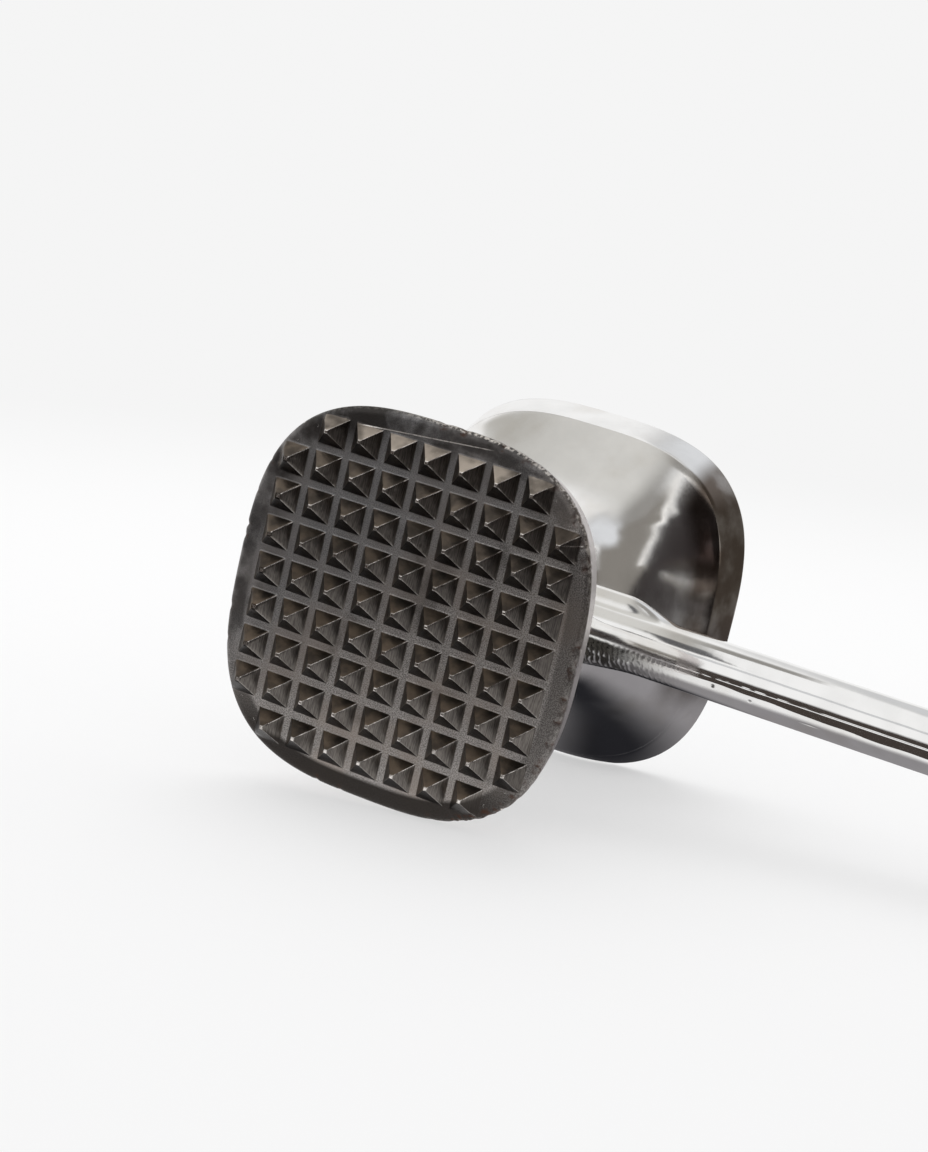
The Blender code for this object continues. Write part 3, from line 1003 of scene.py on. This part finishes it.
def plate_wear_and_highlight(graph, plate):
    """Bright wear on the tips and the scratches, and wear with a painted highlight on the right-hand ridges
    and the upper right of the rim.
    """
    sparks = graph.noise(plate.place, SPARK, 3.0)
    broken = graph.ramp(sparks, 0.34, 0.52, 0.4, 1.0)
    off_ridge = graph.math("ABSOLUTE", graph.math("SUBTRACT", plate.wide, plate.tall))
    # Right-hand ridges only, strongest at the top: wear with a painted highlight
    ridge = graph.times(
        graph.ramp(off_ridge, *RIDGE_LINE, 1.0, 0.0), plate.tooth,
        graph.ramp(plate.across, 0.0, 0.1), graph.ramp(plate.above, -0.1, 0.1, 0.30, 1.0))
    tip = graph.ramp(graph.most(plate.wide, plate.tall), *TIP_PATCH, 1.0, 0.0)
    bright = graph.times(graph.most(ridge, tip), broken)
    # Rim: rubbed wear with a painted highlight along the upper right
    bright = graph.most(bright, graph.times(plate.rub, graph.ramp(sparks, 0.42, 0.60)))
    for start, end in SCRATCHES:
        mark = graph.scratch(plate.x, plate.z, start, end)
        bright = graph.most(bright, graph.times(mark, broken))
    return bright


def dark_cast():
    """Dark as-cast metal: lighter matte groove floors, brownish flanks with painted light and shade, bright
    worn tips, and ridges and rim that are worn and carry a painted highlight.
    """
    graph, shader = new_material("dark_cast")
    plate = plate_values(graph)
    # Stains, and painted shade on the lower margin
    stain_and_shade = plate_stain_and_shade(graph, plate)
    bright = plate_wear_and_highlight(graph, plate)
    wall = graph.ramp(plate.y, *WALL_EDGE)
    rust = graph.times(plate.nick, graph.ramp(graph.noise(plate.place, RUST_SPOT, 2.0), 0.42, 0.58))
    rust = graph.math("MINIMUM", rust, 0.85)
    colour = plate_colour(graph, plate)
    # Wear, with painted highlights on the ridges and the rim
    worn_and_highlight = graph.times(bright, 0.9)
    colour = graph.layers(colour, (stain_and_shade, STAIN_AND_SHADE), (worn_and_highlight, WORN_AND_HIGHLIGHT), (wall, WALL), (rust, RUST))

    rough = graph.ramp(plate.tooth, 0.0, 1.0, 0.52, 0.33)
    rough = graph.math("ADD", rough, graph.ramp(plate.speckle, 0.2, 0.8, -0.05, 0.07))
    rough = graph.math("SUBTRACT", rough, graph.times(graph.most(bright, wall), 0.14))

    relief = graph.bump(plate.streaks, STREAK_RELIEF)
    relief = graph.bump(plate.speckle, SPECKLE_RELIEF, relief)
    relief = graph.bump(graph.noise(plate.place, CAST_SKIN, 4.0), CAST_RELIEF, relief)
    return dress_metal(graph, shader, colour, rough, relief)


def polished(name, stretch, haziness):
    """Polished casting: long polishing lines, a faint ripple, haze, a painted dark reflection on the rear
    rim beside the handle, and dirt with painted shade.
    """
    graph, shader = new_material(name)
    place = graph.place()
    lines = graph.noise(place, POLISH_LINE, 3.0, stretch)
    haze = graph.noise(place, POLISH_HAZE, 4.0)
    warm = graph.ramp(graph.noise(place, WARM_PATCH, 3.0), 0.50, 0.75)
    # Dirt, and painted shade at the handle's root
    dirt = graph.value_of("dirt")
    # Painted dark reflection on the rear rim beside the handle, a little patchy with the haze
    dark_reflection = graph.ramp(haze, 0.3, 0.6, 0.75, 1.0)
    for value, start, soft in zip(graph.axes(place), DARK_REFLECTION_FROM, DARK_REFLECTION_SOFT):
        dark_reflection = graph.times(dark_reflection, graph.ramp(value, start, start + soft))
    colour = graph.layers(
        graph.mix(graph.ramp(haze, 0.3, 0.7), POLISH_BRIGHT, POLISH_DULL),
        (warm, POLISH_WARM), (dark_reflection, DARK_REFLECTION), (graph.times(dirt, 0.98), DIRT_AND_SHADE))
    rough = graph.ramp(lines, 0.3, 0.7, haziness, 1.6 * haziness)
    rough = graph.math("ADD", rough, graph.times(dirt, 0.2))
    rough = graph.math("ADD", rough, graph.ramp(haze, 0.35, 0.7, 0.0, 0.6 * haziness))
    relief = graph.bump(lines, LINE_RELIEF)
    relief = graph.bump(graph.noise(place, POLISH_RIPPLE, 2.0), RIPPLE_RELIEF, relief)
    return dress_metal(graph, shader, colour, rough, relief)


def pin_steel():
    """Ground steel of the rod and the pins inside the head."""
    graph, shader = new_material("pin_steel")
    lines = graph.noise(graph.add("TexCoord").outputs["Object"], STEEL_LINE, 3.0, STEEL_STRETCH)
    colour = graph.mix(lines, STEEL_DARK, STEEL_LIGHT)
    rough = graph.ramp(lines, 0.3, 0.7, 0.24, 0.38)
    return dress_metal(graph, shader, colour, rough, graph.bump(lines, STEEL_RELIEF))


# Stage, light and camera

def seen_ray(graph):
    """1 for rays that show the background, to the eye or in metal and glass, and 0 for light."""
    path = graph.add("LightPath").outputs
    return graph.most(path["Is Camera Ray"], path["Is Glossy Ray"], path["Is Transmission Ray"])


def blend_output(graph, share, first, second):
    """Send a blend of two shaders to the surface."""
    blend = graph.add("MixShader", share, first.outputs[0], second.outputs[0])
    graph.links.new(blend.outputs[0], graph.nodes["Material Output"].inputs["Surface"])


def make_floor():
    """Pale floor that goes over into the white background with distance, and glows more in metal."""
    bpy.ops.mesh.primitive_plane_add(size=FLOOR_SIZE)
    floor = bpy.context.object
    floor.name = "floor"
    graph, shader = new_material("floor")
    shader.inputs["Base Color"].default_value = FLOOR_ALBEDO
    shader.inputs["Roughness"].default_value = FLOOR_ROUGHNESS
    shader.inputs["Specular IOR Level"].default_value = FLOOR_SPECULAR
    spot = graph.add("NewGeometry").outputs["Position"]
    away = graph.add("VectorMath", spot, operation="LENGTH").outputs["Value"]
    mirrored = graph.add("LightPath").outputs["Is Glossy Ray"]
    near = graph.ramp(mirrored, 0.0, 1.0, *FLOOR_GLOW)
    share = graph.times(graph.ramp(away, *FLOOR_WHITENS, near, 1.0), seen_ray(graph))
    blend_output(graph, share, shader, graph.add("Emission", WHITE, 1.0))
    floor.data.materials.append(graph.owner)


def soft_panel(graph, ray, azimuth, up, half_width, half_height, soft):
    """1 inside a soft-edged panel of directions. Azimuth runs from the front to the handle's side."""
    turn = math.radians(azimuth)
    ahead = graph.dot(ray, (math.sin(turn), -math.cos(turn), 0))
    aside = graph.dot(ray, (math.cos(turn), math.sin(turn), 0))
    away = graph.math("ABSOLUTE", graph.math("DEGREES", graph.math("ARCTAN2", aside, ahead)))
    height = graph.math("DEGREES", graph.math("ARCSINE", graph.axes(ray)["Z"]))
    over = graph.math("ABSOLUTE", graph.math("SUBTRACT", height, up))
    across = graph.ramp(away, half_width - soft / 2, half_width + soft / 2, 1.0, 0.0)
    upright = graph.ramp(over, half_height - soft / 2, half_height + soft / 2, 1.0, 0.0)
    return graph.times(across, upright)


def make_world():
    """White studio."""
    world = bpy.data.worlds.new("studio")
    bpy.context.scene.world = world
    graph = Graph(world)
    background = graph.nodes["Background"]
    background.inputs["Color"].default_value = WHITE
    graph.put(background.inputs["Strength"], graph.ramp(seen_ray(graph), 0.0, 1.0, WORLD_LIGHT, 1.0))


def add_card(graph, mesh, colour, cover):
    """A glowing card that only shows in mirrored rays, clear where its cover is 0."""
    blend_output(graph, cover, graph.add("BsdfTransparent"), graph.add("Emission", colour, 1.0))
    mesh.materials.append(graph.owner)
    card = bpy.data.objects.new(graph.owner.name, mesh)
    for kind in ("camera", "diffuse", "transmission", "shadow"):
        setattr(card, "visible_" + kind, False)
    bpy.context.scene.collection.objects.link(card)


def flat_card(left, right, front, back, height):
    """Mesh of a level card, from the places of its edges beside the head's middle."""
    centre = HEAD.translation
    corners = ((left, front), (right, front), (right, back), (left, back))
    mesh = bpy.data.meshes.new("card")
    mesh.from_pydata([(centre.x + x, centre.y + y, height) for x, y in corners], [], [(0, 1, 2, 3)])
    return mesh


def from_head(graph):
    """Place of a card's point, from the middle of the head."""
    spot = graph.add("NewGeometry").outputs["Position"]
    return graph.add("VectorMath", spot, tuple(HEAD.translation), operation="SUBTRACT").outputs[0]


def card_graph(name):
    graph, shader = new_material(name)
    graph.nodes.remove(shader)
    return graph


def on_strip(graph, beyond, half):
    """1 along the middle of a soft strip, from how far directions lie beyond its plane."""
    return graph.ramp(graph.math("ABSOLUTE", beyond), 0.4 * half, 1.6 * half, 1.0, 0.0)


def dome_mesh():
    """Round dome about the head, cut off just above the floor."""
    shape = bmesh.new()
    bmesh.ops.create_uvsphere(
        shape, u_segments=DOME_SEGMENTS, v_segments=DOME_SEGMENTS // 2, radius=DOME_RADIUS)
    bmesh.ops.translate(shape, verts=shape.verts, vec=HEAD.translation)
    bmesh.ops.bisect_plane(
        shape, geom=shape.verts[:] + shape.edges[:] + shape.faces[:],
        plane_co=(0, 0, DOME_FOOT), plane_no=(0, 0, -1), clear_outer=True)
    mesh = bpy.data.meshes.new("cards")
    shape.to_mesh(mesh)
    shape.free()
    return mesh


def make_dome():
    """Dark flags, grey walls and light strips on a dome. Metal seen in metal shows only their low parts."""
    graph = card_graph("cards")
    ray = graph.add("VectorMath", from_head(graph), operation="NORMALIZE").outputs[0]
    beyond = graph.math("SUBTRACT", graph.dot(ray, STRIP_NORMAL), STRIP_OFFSET)
    beyond_pink = graph.math("SUBTRACT", graph.dot(ray, PINK_NORMAL), PINK_OFFSET)
    behind = graph.ramp(beyond, *BEHIND_STRIP)
    before = graph.ramp(beyond, *BEFORE_STRIP, 1.0, 0.0)

    horizon = soft_panel(graph, ray, azimuth=-12, up=-2, half_width=60, half_height=8, soft=7)
    grey = soft_panel(graph, ray, azimuth=91, up=24, half_width=58, half_height=48, soft=14)
    blue = soft_panel(graph, ray, azimuth=157, up=52, half_width=34, half_height=20, soft=20)
    flag = soft_panel(graph, ray, azimuth=67, up=10, half_width=37, half_height=52, soft=8)
    line = soft_panel(graph, ray, azimuth=67, up=20, half_width=43, half_height=44, soft=10)
    side = soft_panel(graph, ray, azimuth=63, up=2, half_width=14, half_height=24, soft=6)
    streak = soft_panel(graph, ray, azimuth=-35, up=40, half_width=45, half_height=2.5, soft=4)
    panels = (
        (horizon, HORIZON),
        (graph.times(grey, behind), SIDE_GREY),
        (blue, BLUE_GREY),
        (graph.times(flag, before), FLAG),
        (graph.times(line, on_strip(graph, beyond, STRIP_HALF)), STRIP),
        (streak, STREAK_GREY),
        (graph.times(side, on_strip(graph, beyond_pink, PINK_HALF)), PINK_STRIP))
    cover = graph.most(*(share for share, tone in panels))
    straight = graph.math("LESS_THAN", graph.add("LightPath").outputs["Glossy Depth"], FIRST_BOUNCE)
    low = graph.ramp(graph.axes(ray)["Z"], *DOME_LOW, 1.0, 0.0)
    cover = graph.times(cover, graph.most(straight, low))
    add_card(graph, dome_mesh(), graph.layers(FLAG, *panels), cover)


def between(graph, value, low, high, soft):
    """1 between two values, with soft ends."""
    rising = graph.ramp(value, low - soft / 2, low + soft / 2)
    return graph.times(rising, graph.ramp(value, high - soft / 2, high + soft / 2, 1.0, 0.0))


def make_ceiling():
    """Grey card above the head, brightest in the middle, and a dark visor in front of it."""
    graph = card_graph("ceiling")
    x, y, _ = graph.axes(from_head(graph))
    front, back = CEILING_FRONT + CEILING_SOFT / 2, CEILING_BACK - CEILING_SOFT / 2
    right = graph.ramp(y, *CEILING_STEP, *CEILING_RIGHT)
    cover = graph.times(
        graph.ramp(x, CEILING_LEFT, CEILING_LEFT + CEILING_SOFT),
        graph.ramp(graph.math("SUBTRACT", right, x), 0.0, CEILING_RIGHT_SOFT),
        between(graph, y, front, back, CEILING_SOFT))
    visor = graph.times(
        between(graph, x, *VISOR_ACROSS, VISOR_SOFT[0]),
        between(graph, y, *VISOR_ALONG, VISOR_SOFT[1]))
    colour = graph.layers(
        CEILING_DIM,
        (graph.ramp(x, *CEILING_BRIGHTENS), CEILING_BRIGHT),
        (graph.ramp(x, *CEILING_DARKENS), CEILING_LOW),
        (visor, VISOR))
    height = HEAD.translation.z + CEILING_HEIGHT
    mesh = flat_card(CEILING_LEFT, CEILING_RIGHT[1], VISOR_ALONG[0] - VISOR_SOFT[1], CEILING_BACK, height)
    add_card(graph, mesh, colour, graph.most(cover, visor))


def make_shade():
    """Shade on the floor: deep below the head, grey round it, and dark far to the right and far in front."""
    graph = card_graph("shade")
    x, y, _ = graph.axes(from_head(graph))
    away = graph.add("CombineXYZ", x, y, 0.0).outputs[0]
    away = graph.add("VectorMath", away, UNDER_CENTRE, operation="DISTANCE").outputs["Value"]
    under = graph.times(graph.ramp(away, *UNDER_FADE, 1.0, 0.0), graph.ramp(y, *UNDER_FRONT))
    beside = graph.ramp(x, *RIGHT_EDGE)
    ahead = graph.ramp(y, *FRONT_EDGE, 1.0, 0.0)
    colour = graph.layers(
        UNDER_DARK,
        (graph.ramp(away, *UNDER_LIGHTENS), UNDER_GREY),
        (beside, SIDE_GREY),
        (graph.times(beside, graph.ramp(y, *FAR_SHADE, 1.0, 0.0)), FLAG),
        (ahead, HORIZON))
    mesh = flat_card(-DOME_RADIUS, DOME_RADIUS, -DOME_RADIUS, DOME_RADIUS, SHADE_HEIGHT)
    add_card(graph, mesh, colour, graph.most(under, beside, ahead))


def make_lamp():
    """Large soft lamp above the far left."""
    data = bpy.data.lights.new("softbox", "AREA")
    data.shape = "RECTANGLE"
    data.size = LAMP_SIZE
    data.size_y = LAMP_SIZE
    data.energy = LAMP_ENERGY
    lamp = bpy.data.objects.new("softbox", data)
    lamp.location = LAMP_PLACE
    lamp.rotation_euler = (-Vector(LAMP_PLACE)).to_track_quat("-Z", "Y").to_euler()
    lamp.visible_glossy = False
    bpy.context.scene.collection.objects.link(lamp)


def make_camera():
    data = bpy.data.cameras.new("camera")
    data.sensor_width = SENSOR
    data.lens = FOCAL_PIXELS * SENSOR / IMAGE_HEIGHT
    camera = bpy.data.objects.new("camera", data)
    turn = Matrix((EYE_RIGHT, EYE_UP, -EYE_FORWARD)).transposed().to_4x4()
    camera.matrix_world = HEAD @ Matrix.Translation(EYE) @ turn
    bpy.context.scene.collection.objects.link(camera)
    bpy.context.scene.camera = camera


def dress_pins(material):
    """Give the CAD pins inside the head their steel."""
    for name, node in frame["nodes"].items():
        if name == "tie_rod" or name.startswith("dowel"):
            node.data.materials.clear()
            node.data.materials.append(material)


make_toothed_plate(dark_cast())
head_metal = polished("polished_head", HEAD_STRETCH, HEAD_HAZINESS)
make_smooth_plate(head_metal)
make_body(head_metal)
make_handle(polished("polished_bar", BAR_STRETCH, BAR_HAZINESS))
dress_pins(pin_steel())
make_floor()
make_world()
make_dome()
make_ceiling()
make_shade()
make_lamp()
make_camera()
bpy.context.scene.view_settings.view_transform = "Standard"
